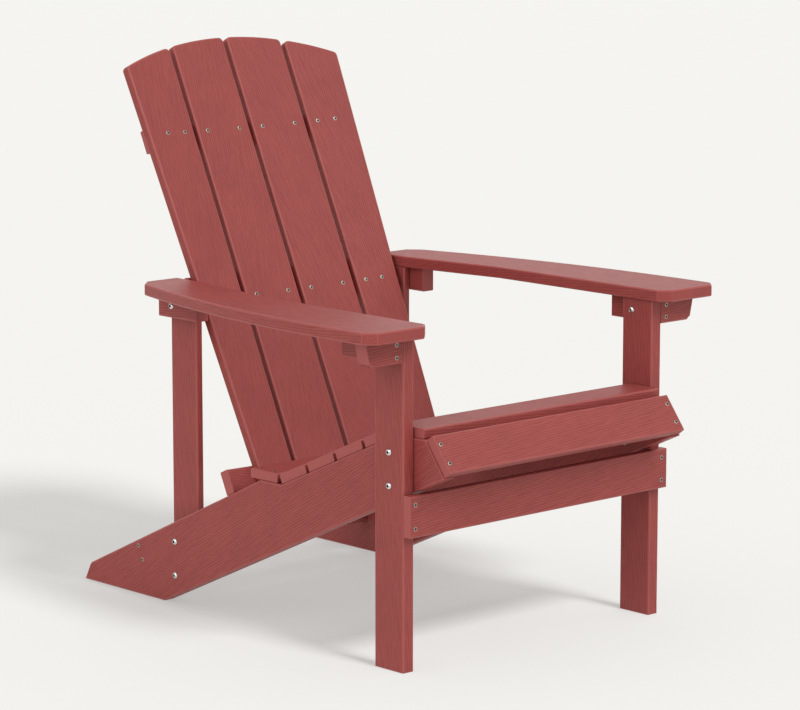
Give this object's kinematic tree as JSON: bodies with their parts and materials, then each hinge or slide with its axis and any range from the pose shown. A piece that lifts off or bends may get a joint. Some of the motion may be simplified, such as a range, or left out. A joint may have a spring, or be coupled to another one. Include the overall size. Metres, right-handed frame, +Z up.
{
  "type": "adirondack chair",
  "caption": "Fixed Adirondack garden chair in plastic lumber: raked slat back with an arched top, contoured slat seat, wide tapering arms and long sloping side boards.",
  "frame": {"origin": "on the floor, under the middle of the chair's overall width and depth", "axes": "+Z up, -Y to the chair's front, +X to the sitter's left"},
  "size_m": [0.762, 0.904, 0.9134],
  "materials": {
    "plastic_lumber": "dull brick-rose plastic lumber with a fine straight embossed grain",
    "bolt_steel": "bright zinc-plated button head",
    "nut_steel": "dull zinc plate"
  },
  "bodies": {
    "root": {"side_stringer_left": "plastic_lumber", "front_leg_left": "plastic_lumber", "rear_post_left": "plastic_lumber", "front_arm_block_left": "plastic_lumber", "rear_arm_block_left": "plastic_lumber", "front_arm_cleat_left": "plastic_lumber", "arm_left": "plastic_lumber", "side_stringer_right": "plastic_lumber", "front_leg_right": "plastic_lumber", "rear_post_right": "plastic_lumber", "front_arm_block_right": "plastic_lumber", "rear_arm_block_right": "plastic_lumber", "front_arm_cleat_right": "plastic_lumber", "arm_right": "plastic_lumber", "seat_slat_1": "plastic_lumber", "seat_slat_2": "plastic_lumber", "seat_slat_3": "plastic_lumber", "seat_slat_4": "plastic_lumber", "seat_slat_5": "plastic_lumber", "seat_slat_6": "plastic_lumber", "front_apron_slat": "plastic_lumber", "front_stretcher": "plastic_lumber", "rear_stretcher": "plastic_lumber", "back_rail_lower": "plastic_lumber", "back_rail_upper": "plastic_lumber", "back_rail_middle": "plastic_lumber", "back_slat_1": "plastic_lumber", "back_slat_2": "plastic_lumber", "back_slat_3": "plastic_lumber", "back_slat_4": "plastic_lumber", "leg_bolt_upper_left": "bolt_steel", "post_bolt_upper_left": "bolt_steel", "leg_bolt_lower_left": "bolt_steel", "post_bolt_lower_left": "bolt_steel", "front_arm_bolt_left": "bolt_steel", "rear_arm_bolt_left": "bolt_steel", "leg_bolt_upper_right": "bolt_steel", "post_bolt_upper_right": "bolt_steel", "leg_bolt_lower_right": "bolt_steel", "post_bolt_lower_right": "bolt_steel", "front_arm_bolt_right": "bolt_steel", "rear_arm_bolt_right": "bolt_steel", "leg_nut_upper_left": "nut_steel", "post_nut_upper_left": "nut_steel", "leg_nut_lower_left": "nut_steel", "post_nut_lower_left": "nut_steel", "front_arm_nut_left": "nut_steel", "leg_nut_upper_right": "nut_steel", "post_nut_upper_right": "nut_steel", "leg_nut_lower_right": "nut_steel", "post_nut_lower_right": "nut_steel", "front_arm_nut_right": "nut_steel"}
  },
  "joints": []
}
